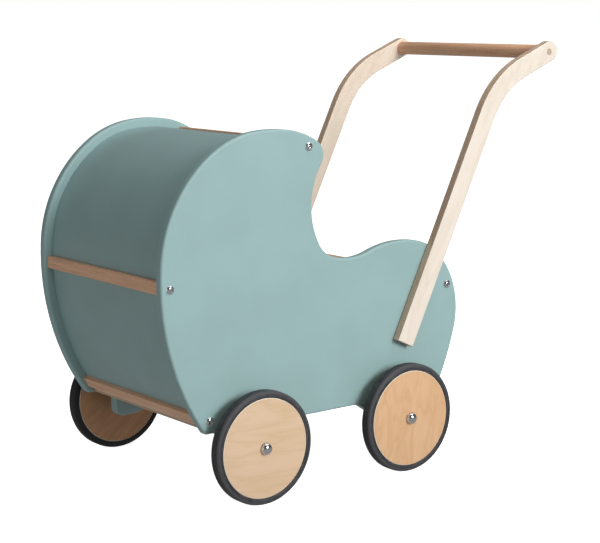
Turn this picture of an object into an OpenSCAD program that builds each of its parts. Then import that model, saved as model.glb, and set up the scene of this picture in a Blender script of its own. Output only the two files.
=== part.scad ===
// Wooden doll's pram: two shaped side panels joined by square rails, bent panels
// between them, a floor with axle brackets under it, four wheels and a push handle.
// X runs from the hood (-X) to the handle (+X), Y across the pram, Z up from the ground.

/* [Wheels] */
// Radius of the tyre, which is also the height of the axles
tyre_radius = 68; // [64:0.5:70]
// Thickness of the rubber tyre, from the disc's rim outwards
tyre_depth = 8; // [6:0.5:9]
// Width of a wheel's wooden disc
wheel_width = 15; // [12:1:16]
// Distance between the front and rear axles
wheelbase = 223; // [215:1:230]
// Radius of the steel axles
axle_radius = 4; // [3:0.5:4.5]
// Gap all round between an axle and the bush that turns on it
running_gap = 0.06; // [0.03:0.01:0.08]

/* [Body] */
// Width of the body over the side panels
body_width = 281; // [250:1:290]
// Thickness of the side panels
panel_thickness = 12; // [10:1:14]
// How far the bent panels lie in from the side panels' edges
sheet_inset = 11.5; // [9:0.5:12]
// Thickness of the bent plywood of the hood, front and rear
sheet_thickness = 4; // [3:0.5:5]
// Thickness of the floor board
floor_thickness = 9; // [6:1:10]
// Side of the square cross rails
rail_size = 15; // [13:1:16]
// Depth of the grooves that hold the bent panels and the floor
groove_depth = 4; // [3:0.5:6]

/* [Handle] */
// Thickness of the handle's arms
arm_thickness = 12; // [10:1:13]
// Width of the handle's arms
arm_width = 26; // [22:1:28]
// Length of an arm's straight lower part
arm_length = 309.5; // [290:0.5:315]
// Radius of the bend on an arm's centre line
arm_bend_radius = 120; // [100:5:140]
// Radius of the round bar between the arms
bar_radius = 9; // [8:0.5:10]

/* [Hidden] */
$fn = 72;

left = -1;
right = 1;
front = -1;
rear = 1;
cut = 1;                 // how far a cutting solid runs past the face it cuts
play = 0.1;              // room around a sheet in its groove

teal = [0.63, 0.75, 0.75];
shade_teal = [0.5, 0.62, 0.61];
birch = [0.95, 0.9, 0.83];
beech = [0.66, 0.52, 0.42];
plywood = [0.86, 0.74, 0.6];
rubber = [0.2, 0.2, 0.21];
chrome = [0.8, 0.8, 0.82];
steel = [0.6, 0.61, 0.63];
nylon = [0.9, 0.9, 0.88];

// The axles' places, with the body's length centred on X = 0
axle_height = tyre_radius;
front_axle_x = -187;
rear_axle_x = front_axle_x + wheelbase;

// Distances outwards from the centre plane
panel_out = body_width / 2;
panel_in = panel_out - panel_thickness;
wheel_gap = 16;
wheel_in = panel_out + wheel_gap;
wheel_out = wheel_in + wheel_width;
end_gap = 0.3;           // between a turning wheel and the washer or cap beside it

// The side panel's edge: from its front bottom corner up the front, over the hood,
// through the throat and down the rear. Each arc is [radius, turn in degrees], and a
// right turn is negative, so the panel is always on the right of the path.
bottom_z = axle_height + 20;
edge_start = [front_axle_x - 59.4, bottom_z, 180];
hood_arcs = [[6, -55.6], [310, -38.3], [165, -51.1], [131, -27.7], [197, -15.5],
    [105, -24.4], [19, -90.8]];
throat_arcs = [[94, 62.3], [36, 44.1], [86, 36.7], [148, -31.2]];
rear_arcs = [[69, -29.9], [102, -64.5], [357, -12.6], [6, -61.5]];
arc_step = 2.5;          // degrees between the points of an arc

// Where the cross rails sit: the heading of the edge beside each one
front_bottom_heading = 122.6;
front_middle_heading = 90.5;
hood_heading = -27;
rear_top_heading = -69.2;
rear_bottom_heading = -117;
rail_inset = 12;
low_rail_inset = 13.5;
hood_rail_turn = 10;     // the hood rail lies this much flatter than the edge
hood_sheet_gap = 0.5;    // and its turned face keeps the hood this much further off
low_screw_shift = 3;     // the bottom rails' screws sit this far below their centres

// The floor lies between the bottom rails, with a tongue along each side in a groove
floor_z = axle_height + 21;
floor_front_x = front_axle_x - 53;
floor_rear_x = front_axle_x + 280;
tongue_thickness = 5;

// The axle brackets, measured from the axle: upright on the outer side, ramped inwards
bracket_thickness = 15;
bracket_reach = 29.5;
bracket_round = 13.5;
bracket_corner = 10;
bracket_ramp = 34;
bracket_screw_spots = [-20, 28];

// The handle's arms start square on the side panels and bend back towards the bar
arm_start = [front_axle_x + 231.5, axle_height + 90, 63.7];
arm_bend = -41.7;
arm_end_length = 52;
bar_inset = 15.5;        // from the arm's rounded end to the bar's axis
arm_screw_spots = [25, 95];

// Fasteners
screw_radius = 3;
pilot_radius = 2.5;
head_radius = 5.4;
head_height = 3.6;
key_radius = 2.2;
panel_screw_length = 40;
arm_screw_length = 20;
insert_radius = 4.5;
insert_length = 9;
floor_screw_radius = 2;
floor_screw_length = 20;
floor_head_radius = 4;
floor_head_height = 2.5;
bar_screw_radius = 2.2;
bar_screw_length = 36;
bar_head_radius = 4.2;
bar_head_height = 3;
plug_radius = 4.5;
plug_length = 4;

// Wheel fittings
bush_radius = 7;
spacer_radius = 7;
washer_radius = 9;
washer_thickness = 1;
fixed_gap = 0.05;        // around an axle in the parts that don't turn
cap_radius = 7.5;
cap_height = 7;
cap_depth = 4;
rim_chamfer = 1;
tyre_shoulder = 3;
tyre_overhang = 0.4;     // the tyre stands this far proud of the disc on each side

axle_xs = [front_axle_x, rear_axle_x];

// A pose is [x, z, heading]. This is the pose after turning part of the way round an arc.
function turn_by(pose, radius, turn) =
    let (side = turn < 0 ? -1 : 1, h = pose[2], g = pose[2] + turn)
    [pose[0] + side * radius * (sin(g) - sin(h)),
     pose[1] - side * radius * (cos(g) - cos(h)), g];

function after_arcs(pose, arcs, i = 0) =
    i == len(arcs) ? pose : after_arcs(turn_by(pose, arcs[i][0], arcs[i][1]), arcs, i + 1);

// The poses along a run of arcs, without the first
function trace(pose, arcs, i = 0) =
    i == len(arcs) ? [] :
    let (r = arcs[i][0], turn = arcs[i][1], n = ceil(abs(turn) / arc_step))
    concat([for (k = [1:n]) turn_by(pose, r, turn * k / n)],
           trace(turn_by(pose, r, turn), arcs, i + 1));

// The pose at a heading, on a run of arcs that all turn right
function at_heading(pose, arcs, heading, i = 0) =
    let (end = turn_by(pose, arcs[i][0], arcs[i][1]))
    heading >= end[2] || i == len(arcs) - 1 ? turn_by(pose, arcs[i][0], heading - pose[2])
                                            : at_heading(end, arcs, heading, i + 1);

function moved_in(pose, inset) =
    [pose[0] + inset * sin(pose[2]), pose[1] - inset * cos(pose[2])];

function reversed(list) = [for (i = [len(list) - 1:-1:0]) list[i]];

// A sheet that follows the edge between two headings, as an outline
function sheet_outline(pose, arcs, from, to, inset, thickness) =
    let (run = concat([at_heading(pose, arcs, from)],
                      [for (p = trace(pose, arcs)) if (p[2] < from && p[2] > to) p],
                      [at_heading(pose, arcs, to)]))
    concat([for (p = run) moved_in(p, inset)],
           reversed([for (p = run) moved_in(p, inset + thickness)]));

function arc_points(x, z, radius, from, to) =
    let (n = ceil(abs(to - from) / arc_step))
    [for (k = [0:n]) let (a = from + (to - from) * k / n)
        [x + radius * cos(a), z + radius * sin(a)]];

// The angle that half a rail covers on an arc of the edge, with a gap before the sheet
function rail_reach(radius, gap = 0) =
    asin((rail_size / 2 + play + gap) / (radius - sheet_inset - sheet_thickness));

throat_start = after_arcs(edge_start, hood_arcs);
rear_start = after_arcs(throat_start, throat_arcs);

front_sheet = [front_bottom_heading - rail_reach(310), front_middle_heading + rail_reach(310)];
hood_sheet = [front_middle_heading - rail_reach(310), hood_heading + rail_reach(105, hood_sheet_gap)];
rear_sheet = [rear_top_heading - rail_reach(102), rear_bottom_heading + rail_reach(357)];

function front_rail_spot(heading, inset) =
    concat(moved_in(at_heading(edge_start, hood_arcs, heading), inset), [heading]);
function rear_rail_spot(heading, inset) =
    concat(moved_in(at_heading(rear_start, rear_arcs, heading), inset), [heading]);

hood_spot = front_rail_spot(hood_heading, rail_inset);
front_middle_spot = front_rail_spot(front_middle_heading, rail_inset);
front_bottom_spot = front_rail_spot(front_bottom_heading, low_rail_inset);
rear_top_spot = rear_rail_spot(rear_top_heading, rail_inset);
rear_bottom_spot = rear_rail_spot(rear_bottom_heading, low_rail_inset);

function screw_spot(spot, shift) =
    [spot[0] - shift * cos(spot[2]), spot[1] - shift * sin(spot[2])];

panel_screw_spots = [
    screw_spot(hood_spot, 0),
    screw_spot(front_middle_spot, 0),
    screw_spot(front_bottom_spot, low_screw_shift),
    screw_spot(rear_top_spot, 0),
    screw_spot(rear_bottom_spot, -low_screw_shift)];

function ahead(pose, length) =
    [pose[0] + length * cos(pose[2]), pose[1] + length * sin(pose[2]), pose[2]];

arm_bend_start = ahead(arm_start, arm_length);
arm_bend_end = turn_by(arm_bend_start, arm_bend_radius, arm_bend);
arm_tip = ahead(arm_bend_end, arm_end_length);
bar_spot = ahead(arm_tip, arm_width / 2 - bar_inset);
arm_screw_places = [for (s = arm_screw_spots) ahead(arm_start, s)];

// A plate parallel to the sides, from `out` outwards, with its outline in X and Z
module plate(side, out, thickness) {
    translate([0, side > 0 ? out + thickness : -out, 0])
        rotate([90, 0, 0]) linear_extrude(thickness) children();
}

// A board across the pram, with its outline in X and Z
module across(width) {
    translate([0, width / 2, 0]) rotate([90, 0, 0]) linear_extrude(width) children();
}

// Puts a part that is drawn along +Z on one side of the pram, pointing outwards
module outward(side, x, z, out) {
    translate([x, side * out, z]) rotate([-90 * side, 0, 0]) children();
}

module tube(length, outer, inner) {
    difference() {
        cylinder(h = length, r = outer);
        translate([0, 0, -cut]) cylinder(h = length + 2 * cut, r = inner);
    }
}

module side_outline() {
    intersection() {
        polygon([for (p = concat([edge_start], trace(edge_start, hood_arcs),
                                 trace(throat_start, throat_arcs),
                                 trace(rear_start, rear_arcs))) [p[0], p[1]]]);
        translate([-400, bottom_z]) square(800);
    }
}

module sheet_shape(pose, arcs, headings, room = 0) {
    polygon(sheet_outline(pose, arcs, headings[0] + room, headings[1] - room,
                          sheet_inset - room, sheet_thickness + 2 * room));
}

module floor_shape(thickness, room = 0) {
    translate([floor_front_x - room, floor_z - room])
        square([floor_rear_x - floor_front_x + 2 * room, thickness + 2 * room]);
}

module side_panel(side) {
    color(teal) difference() {
        plate(side, panel_in, panel_thickness) side_outline();
        plate(side, panel_in - cut, groove_depth + cut) {
            sheet_shape(edge_start, hood_arcs, front_sheet, play);
            sheet_shape(edge_start, hood_arcs, hood_sheet, play);
            sheet_shape(rear_start, rear_arcs, rear_sheet, play);
            floor_shape(tongue_thickness, play);
        }
        for (s = panel_screw_spots)
            outward(side, s[0], s[1], panel_in - cut)
                cylinder(h = panel_thickness + 2 * cut, r = screw_radius);
        for (s = arm_screw_places)
            outward(side, s[0], s[1], panel_in - cut)
                cylinder(h = panel_thickness + 2 * cut, r = screw_radius);
    }
}

module left_side_panel() { side_panel(left); }
module right_side_panel() { side_panel(right); }

sheet_width = 2 * (panel_in + groove_depth - play);

module hood_panel() {
    color(shade_teal) across(sheet_width) sheet_shape(edge_start, hood_arcs, hood_sheet);
}
module front_panel() {
    color(shade_teal) across(sheet_width) sheet_shape(edge_start, hood_arcs, front_sheet);
}
module rear_panel() {
    color(shade_teal) across(sheet_width) sheet_shape(rear_start, rear_arcs, rear_sheet);
}

module for_floor_screws() {
    for (end = [front, rear], side = [left, right], spot = bracket_screw_spots)
        translate([axle_xs[end > 0 ? 1 : 0] - end * spot,
                   side * (panel_in - bracket_thickness / 2),
                   floor_z + floor_thickness]) children();
}

module floor_screw() {
    translate([0, 0, -floor_screw_length]) cylinder(h = floor_screw_length, r = floor_screw_radius);
    translate([0, 0, -floor_head_height])
        cylinder(h = floor_head_height, r1 = floor_screw_radius, r2 = floor_head_radius);
}

module floor_board() {
    color(plywood) difference() {
        union() {
            across(2 * (panel_in - play)) floor_shape(floor_thickness);
            across(sheet_width) floor_shape(tongue_thickness);
        }
        for_floor_screws() floor_screw();
    }
}

module rail(spot, shift = 0, turn = 0) {
    place = screw_spot(spot, shift);
    hole_depth = panel_screw_length - panel_thickness;
    color(beech) difference() {
        across(2 * panel_in)
            translate([spot[0], spot[1]]) rotate(spot[2] + turn) square(rail_size, center = true);
        for (side = [left, right])
            outward(side, place[0], place[1], panel_in - hole_depth)
                cylinder(h = hole_depth + cut, r = pilot_radius);
    }
}

module hood_rail() { rail(hood_spot, turn = hood_rail_turn); }
module front_middle_rail() { rail(front_middle_spot); }
module front_bottom_rail() { rail(front_bottom_spot, low_screw_shift); }
module rear_top_rail() { rail(rear_top_spot); }
module rear_bottom_rail() { rail(rear_bottom_spot, -low_screw_shift); }

// The bracket's outline around the axle at 0, 0, with its ramp towards +X
module bracket_shape() {
    top = floor_z - axle_height;
    ramp_start = [bracket_round * sin(bracket_ramp), -bracket_round * cos(bracket_ramp)];
    ramp_end = ramp_start[0] + (top - ramp_start[1]) / tan(bracket_ramp);
    polygon(concat(
        [[ramp_end, top], [-bracket_reach, top]],
        arc_points(bracket_corner - bracket_reach, bracket_corner - bracket_round,
                   bracket_corner, 180, 270),
        arc_points(0, 0, bracket_round, -90, bracket_ramp - 90)));
}

module bracket(end, side) {
    axle_x = axle_xs[end > 0 ? 1 : 0];
    color(teal) difference() {
        plate(side, panel_in - bracket_thickness, bracket_thickness)
            translate([axle_x, axle_height]) scale([-end, 1]) bracket_shape();
        outward(side, axle_x, axle_height, panel_in - bracket_thickness - cut)
            cylinder(h = bracket_thickness + 2 * cut, r = axle_radius + fixed_gap);
        for_floor_screws() floor_screw();
    }
}

module front_left_bracket() { bracket(front, left); }
module front_right_bracket() { bracket(front, right); }
module rear_left_bracket() { bracket(rear, left); }
module rear_right_bracket() { bracket(rear, right); }

module axle(axle_x) {
    length = 2 * (wheel_out + end_gap + cap_depth);
    color(steel) outward(left, axle_x, axle_height, -length / 2) cylinder(h = length, r = axle_radius);
}

module front_axle() { axle(front_axle_x); }
module rear_axle() { axle(rear_axle_x); }

disc_radius = tyre_radius - tyre_depth;

module disc(axle_x, side) {
    w = wheel_width;
    r = disc_radius;
    c = rim_chamfer;
    color(plywood) outward(side, axle_x, axle_height, wheel_in)
        rotate_extrude() polygon([[bush_radius, 0], [r - c, 0], [r, c], [r, w - c],
                                  [r - c, w], [bush_radius, w]]);
}

module tyre(axle_x, side) {
    low = -tyre_overhang;
    high = wheel_width + tyre_overhang;
    s = tyre_shoulder;
    color(rubber) outward(side, axle_x, axle_height, wheel_in)
        rotate_extrude() polygon(concat(
            [[disc_radius, low]],
            arc_points(tyre_radius - s, low + s, s, -90, 0),
            arc_points(tyre_radius - s, high - s, s, 0, 90),
            [[disc_radius, high]]));
}

module bush(axle_x, side) {
    color(nylon) outward(side, axle_x, axle_height, wheel_in)
        tube(wheel_width, bush_radius, axle_radius + running_gap);
}

module front_left_disc() { disc(front_axle_x, left); }
module front_left_tyre() { tyre(front_axle_x, left); }
module front_left_bush() { bush(front_axle_x, left); }
module front_right_disc() { disc(front_axle_x, right); }
module front_right_tyre() { tyre(front_axle_x, right); }
module front_right_bush() { bush(front_axle_x, right); }
module rear_left_disc() { disc(rear_axle_x, left); }
module rear_left_tyre() { tyre(rear_axle_x, left); }
module rear_left_bush() { bush(rear_axle_x, left); }
module rear_right_disc() { disc(rear_axle_x, right); }
module rear_right_tyre() { tyre(rear_axle_x, right); }
module rear_right_bush() { bush(rear_axle_x, right); }

washer_in = wheel_in - end_gap - washer_thickness;

module spacer(axle_x, side) {
    color(steel) outward(side, axle_x, axle_height, panel_in)
        tube(washer_in - panel_in, spacer_radius, axle_radius + fixed_gap);
}

module front_left_spacer() { spacer(front_axle_x, left); }
module front_right_spacer() { spacer(front_axle_x, right); }
module rear_left_spacer() { spacer(rear_axle_x, left); }
module rear_right_spacer() { spacer(rear_axle_x, right); }

module wheel_washers() {
    color(steel) for (x = axle_xs, side = [left, right])
        outward(side, x, axle_height, washer_in)
            tube(washer_thickness, washer_radius, axle_radius + fixed_gap);
}

// A domed cap, with its skirt straight for the first third
module cap(axle_x, side) {
    skirt = cap_height / 3;
    dome = cap_height - skirt;
    color(chrome) outward(side, axle_x, axle_height, wheel_out + end_gap) difference() {
        rotate_extrude() polygon(concat(
            [[0, 0], [cap_radius, 0]],
            [for (a = [0:6:90]) [cap_radius * cos(a), skirt + dome * sin(a)]]));
        translate([0, 0, -cut]) cylinder(h = cap_depth + cut, r = axle_radius);
    }
}

module front_left_cap() { cap(front_axle_x, left); }
module front_right_cap() { cap(front_axle_x, right); }
module rear_left_cap() { cap(rear_axle_x, left); }
module rear_right_cap() { cap(rear_axle_x, right); }

module arm_shape() {
    half = arm_width / 2;
    run = concat([arm_start, arm_bend_start],
                 trace(arm_bend_start, [[arm_bend_radius, arm_bend]]), [arm_tip]);
    heading = arm_tip[2];
    polygon(concat(
        [for (p = run) moved_in(p, -half)],
        arc_points(arm_tip[0], arm_tip[1], half, heading + 90 - arc_step, heading - 90 + arc_step),
        reversed([for (p = run) moved_in(p, half)])));
}

module handle_arm(side) {
    color(birch) difference() {
        plate(side, panel_out, arm_thickness) arm_shape();
        for (s = arm_screw_places)
            outward(side, s[0], s[1], panel_out - cut)
                cylinder(h = insert_length + cut, r = insert_radius);
        outward(side, bar_spot[0], bar_spot[1], panel_out - cut)
            cylinder(h = arm_thickness, r = bar_screw_radius);
        outward(side, bar_spot[0], bar_spot[1],
                panel_out + arm_thickness - plug_length - bar_head_height)
            cylinder(h = plug_length + bar_head_height + cut, r = plug_radius);
    }
}

module left_handle_arm() { handle_arm(left); }
module right_handle_arm() { handle_arm(right); }

module handle_bar() {
    depth = bar_screw_length - (arm_thickness - plug_length - bar_head_height);
    color(beech) difference() {
        outward(right, bar_spot[0], bar_spot[1], -panel_out)
            cylinder(h = 2 * panel_out, r = bar_radius);
        for (side = [left, right])
            outward(side, bar_spot[0], bar_spot[1], panel_out - depth)
                cylinder(h = depth + cut, r = bar_screw_radius);
    }
}

module handle_bar_screws() {
    head_out = panel_out + arm_thickness - plug_length - bar_head_height;
    color(steel) for (side = [left, right]) {
        outward(side, bar_spot[0], bar_spot[1], head_out)
            cylinder(h = bar_head_height, r = bar_head_radius);
        outward(side, bar_spot[0], bar_spot[1], head_out - bar_screw_length)
            cylinder(h = bar_screw_length, r = bar_screw_radius);
    }
}

module handle_bar_plugs() {
    color(plywood) for (side = [left, right])
        outward(side, bar_spot[0], bar_spot[1], panel_out + arm_thickness - plug_length)
            cylinder(h = plug_length, r = plug_radius);
}

// A button-head screw with its head's underside at 0 and its shank along -Z
module button_screw(length, shank) {
    difference() {
        rotate_extrude() polygon(concat(
            [[0, 0], [head_radius, 0]],
            [for (a = [10:8:90]) [head_radius * cos(a), head_height * sin(a)]]));
        translate([0, 0, head_height / 2]) cylinder(h = head_height, r = key_radius, $fn = 6);
    }
    translate([0, 0, -length]) cylinder(h = length, r = shank);
}

module arm_screws() {
    color(steel) for (side = [left, right], s = arm_screw_places)
        outward(side, s[0], s[1], panel_in) rotate([180, 0, 0])
            button_screw(arm_screw_length, screw_radius);
}

module arm_inserts() {
    color(steel) for (side = [left, right], s = arm_screw_places)
        outward(side, s[0], s[1], panel_out) tube(insert_length, insert_radius, screw_radius);
}

// The shank fills the panel's hole, and the thinner thread bites into the rail
module panel_screws() {
    color(chrome) for (side = [left, right], s = panel_screw_spots)
        outward(side, s[0], s[1], panel_out) {
            button_screw(panel_thickness, screw_radius);
            translate([0, 0, -panel_screw_length])
                cylinder(h = panel_screw_length, r = pilot_radius);
        }
}

module floor_screws() {
    color(steel) for_floor_screws() floor_screw();
}

left_side_panel();
right_side_panel();
hood_panel();
front_panel();
rear_panel();
floor_board();
hood_rail();
front_middle_rail();
front_bottom_rail();
rear_top_rail();
rear_bottom_rail();
front_left_bracket();
front_right_bracket();
rear_left_bracket();
rear_right_bracket();
front_axle();
rear_axle();
front_left_disc();
front_left_tyre();
front_left_bush();
front_right_disc();
front_right_tyre();
front_right_bush();
rear_left_disc();
rear_left_tyre();
rear_left_bush();
rear_right_disc();
rear_right_tyre();
rear_right_bush();
front_left_spacer();
front_right_spacer();
rear_left_spacer();
rear_right_spacer();
wheel_washers();
front_left_cap();
front_right_cap();
rear_left_cap();
rear_right_cap();
left_handle_arm();
right_handle_arm();
handle_bar();
handle_bar_screws();
handle_bar_plugs();
arm_screws();
arm_inserts();
panel_screws();
floor_screws();
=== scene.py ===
import math

import bmesh
import bpy
from mathutils import Matrix, Vector


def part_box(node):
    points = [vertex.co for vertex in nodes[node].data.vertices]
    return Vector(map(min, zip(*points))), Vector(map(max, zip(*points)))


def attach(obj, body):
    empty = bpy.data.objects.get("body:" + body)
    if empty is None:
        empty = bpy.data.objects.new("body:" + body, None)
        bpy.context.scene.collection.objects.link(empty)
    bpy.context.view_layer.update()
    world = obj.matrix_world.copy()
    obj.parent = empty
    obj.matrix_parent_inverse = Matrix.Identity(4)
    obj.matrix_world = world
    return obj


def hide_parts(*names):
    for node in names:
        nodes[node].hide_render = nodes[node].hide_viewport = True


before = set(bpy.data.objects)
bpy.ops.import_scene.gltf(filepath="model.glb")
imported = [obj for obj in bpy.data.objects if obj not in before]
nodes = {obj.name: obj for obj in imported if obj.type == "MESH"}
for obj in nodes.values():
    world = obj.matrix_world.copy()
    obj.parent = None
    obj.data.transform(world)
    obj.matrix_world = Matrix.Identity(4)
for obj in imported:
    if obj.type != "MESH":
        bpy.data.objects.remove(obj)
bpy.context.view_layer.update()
mm = 0.001
touching = 0.001 * mm                 # points closer than this are one point
level = 0.01 * mm                     # ends closer than this stand level
sharpCorner = {"boards": 31, "turned": 35, "screws": 32}      # degrees, kept unsmoothed
scene = bpy.context.scene
scene.view_settings.view_transform = "Standard"     # plain colours, as on a printed page
print("frame loaded:", len(nodes), "nodes")

cameraSetup = {
    "place": (-1.2768, -1.6799, 0.5843),
    "azimuth": -37.14,                # degrees; 0 looks along +Y
    "elevation": 9.40,                # how far it looks down
    "roll": -0.58,
    "lens": 99.07,                    # mm on a sensor 36 mm wide
}


def makeCamera(setup):
    data = bpy.data.cameras.new("camera")
    data.lens = setup["lens"]
    data.sensor_width = 36
    data.clip_start = 0.05
    data.clip_end = 60
    camera = bpy.data.objects.new("camera", data)
    scene.collection.objects.link(camera)
    camera.matrix_world = (Matrix.Translation(setup["place"])
                           @ Matrix.Rotation(math.radians(setup["azimuth"]), 4, "Z")
                           @ Matrix.Rotation(math.radians(90 - setup["elevation"]), 4, "X")
                           @ Matrix.Rotation(math.radians(setup["roll"]), 4, "Z"))
    scene.camera = camera


makeCamera(cameraSetup)
print("camera placed")


def hexLinear(code):
    values = [int(code[i:i + 2], 16) / 255 for i in (1, 3, 5)]
    return [v / 12.92 if v <= 0.04045 else ((v + 0.055) / 1.055) ** 2.4 for v in values] + [1.0]


def addNode(tree, kind, inputs=None, stops=None, **settings):
    node = tree.nodes.new(kind)
    for key, value in settings.items():
        setattr(node, key, value)
    for key, value in (inputs or {}).items():
        if isinstance(value, bpy.types.NodeSocket):
            tree.links.new(value, node.inputs[key])
        else:
            node.inputs[key].default_value = value
    for i, (place, colour) in enumerate(stops or []):    # a colour ramp's stops
        ramp = node.color_ramp.elements
        element = ramp[i] if i < len(ramp) else ramp.new(place)
        element.position = place
        element.color = hexLinear(colour)
    return node


def startMaterial(name, **sockets):
    material = bpy.data.materials.new(name)
    material.use_nodes = True
    shader = material.node_tree.nodes["Principled BSDF"]
    for key, value in sockets.items():
        shader.inputs[key.replace("_", " ")].default_value = value
    return material, material.node_tree, shader


satinPaint = {
    "light": "#8da9a9",
    "dark": "#89a5a4",
    "mottle": 55 * mm,                # soft patches in the sprayed coat
    "peel": 1.6 * mm,                 # orange peel
    "grain": (70 * mm, 2.2 * mm),     # wood telegraphing through, along and across
    "gloss": (0.38, 0.47),            # roughness in the grain's low and high places
}


def makeSatinPaint(name, paint, along):
    # satin water-based enamel sprayed on birch plywood: an even, soft sheen with a
    # trace of orange peel and of the grain beneath
    material, tree, shader = startMaterial(name, Roughness=0.42, Specular_IOR_Level=0.4)
    coords = addNode(tree, "ShaderNodeTexCoord").outputs["Object"]
    mottle = addNode(tree, "ShaderNodeTexNoise", {
        "Vector": coords, "Scale": 1 / paint["mottle"], "Detail": 2.0, "Roughness": 0.55})
    colour = addNode(tree, "ShaderNodeValToRGB", {"Fac": mottle.outputs["Fac"]},
                     stops=[(0.35, paint["dark"]), (0.65, paint["light"])])
    longScale, shortScale = (1 / size for size in paint["grain"])
    stretch = addNode(tree, "ShaderNodeMapping", {
        "Vector": coords,
        "Scale": [longScale if axis == along else shortScale for axis in "XYZ"]})
    grain = addNode(tree, "ShaderNodeTexNoise", {
        "Vector": stretch.outputs["Vector"], "Scale": 1.0, "Detail": 3.0})
    peel = addNode(tree, "ShaderNodeTexNoise", {
        "Vector": coords, "Scale": 1 / paint["peel"], "Detail": 1.0})
    gloss = addNode(tree, "ShaderNodeMapRange", {
        "Value": grain.outputs["Fac"], "To Min": paint["gloss"][0],
        "To Max": paint["gloss"][1]})
    grainBump = addNode(tree, "ShaderNodeBump", {
        "Height": grain.outputs["Fac"], "Strength": 0.25, "Distance": 0.05 * mm})
    peelBump = addNode(tree, "ShaderNodeBump", {
        "Height": peel.outputs["Fac"], "Strength": 0.3, "Distance": 0.03 * mm,
        "Normal": grainBump.outputs["Normal"]})
    tree.links.new(colour.outputs["Color"], shader.inputs["Base Color"])
    tree.links.new(gloss.outputs["Result"], shader.inputs["Roughness"])
    tree.links.new(peelBump.outputs["Normal"], shader.inputs["Normal"])
    return material


def grainFactor(tree, vector, grain):
    # 0 in the light wood and 1 in the dark: fibres, drifting figure and short pores,
    # with the vector's X along the grain
    parts = []
    for along, across, detail, weight in (
            (grain["fibre"][0], grain["fibre"][1], 4.0, grain["fibreWeight"]),
            (grain["pore"][0], grain["pore"][1], 1.0, grain["poreWeight"])):
        stretch = addNode(tree, "ShaderNodeMapping", {
            "Vector": vector, "Scale": (1 / along, 1 / across, 1 / across)})
        noise = addNode(tree, "ShaderNodeTexNoise", {
            "Vector": stretch.outputs["Vector"], "Scale": 1.0, "Detail": detail})
        spread = addNode(tree, "ShaderNodeMapRange", {
            "Value": noise.outputs["Fac"], "From Min": 0.38, "From Max": 0.68,
            "To Max": weight})
        parts.append(spread.outputs["Result"])
    along, across = grain["figure"]
    stretch = addNode(tree, "ShaderNodeMapping", {
        "Vector": vector, "Scale": (1 / along, 1 / across, 1 / across),
        "Location": grain["shift"]})
    drift = addNode(tree, "ShaderNodeTexNoise", {
        "Vector": stretch.outputs["Vector"], "Scale": 1.0, "Detail": 2.0, "Distortion": 0.6})
    rings = addNode(tree, "ShaderNodeMath", {
        0: drift.outputs["Fac"], 1: grain["rings"]}, operation="MULTIPLY")
    bands = addNode(tree, "ShaderNodeMath", {
        0: rings.outputs[0], 1: 1.0}, operation="PINGPONG")
    figure = addNode(tree, "ShaderNodeMath", {
        0: bands.outputs[0], 1: grain["figureWeight"]}, operation="MULTIPLY")
    first = addNode(tree, "ShaderNodeMath", {0: parts[0], 1: parts[1]}, operation="ADD")
    return addNode(tree, "ShaderNodeMath", {
        0: first.outputs[0], 1: figure.outputs[0]}, operation="ADD", use_clamp=True).outputs[0]


def makeSolidWood(name, wood):
    # solid beech, planed and oiled: warm brown with fine long fibres and short ray flecks
    material, tree, shader = startMaterial(name, Roughness=wood["roughness"])
    coords = addNode(tree, "ShaderNodeTexCoord").outputs["Object"]
    turned = addNode(tree, "ShaderNodeMapping", {
        "Vector": coords, "Rotation": [math.radians(a) for a in wood["turn"]]})
    factor = grainFactor(tree, turned.outputs["Vector"], wood["grain"])
    colour = addNode(tree, "ShaderNodeValToRGB", {"Fac": factor}, stops=wood["colours"])
    bump = addNode(tree, "ShaderNodeBump", {
        "Height": factor, "Strength": 0.35, "Distance": -0.06 * mm})
    tree.links.new(colour.outputs["Color"], shader.inputs["Base Color"])
    tree.links.new(bump.outputs["Normal"], shader.inputs["Normal"])
    return material


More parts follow.
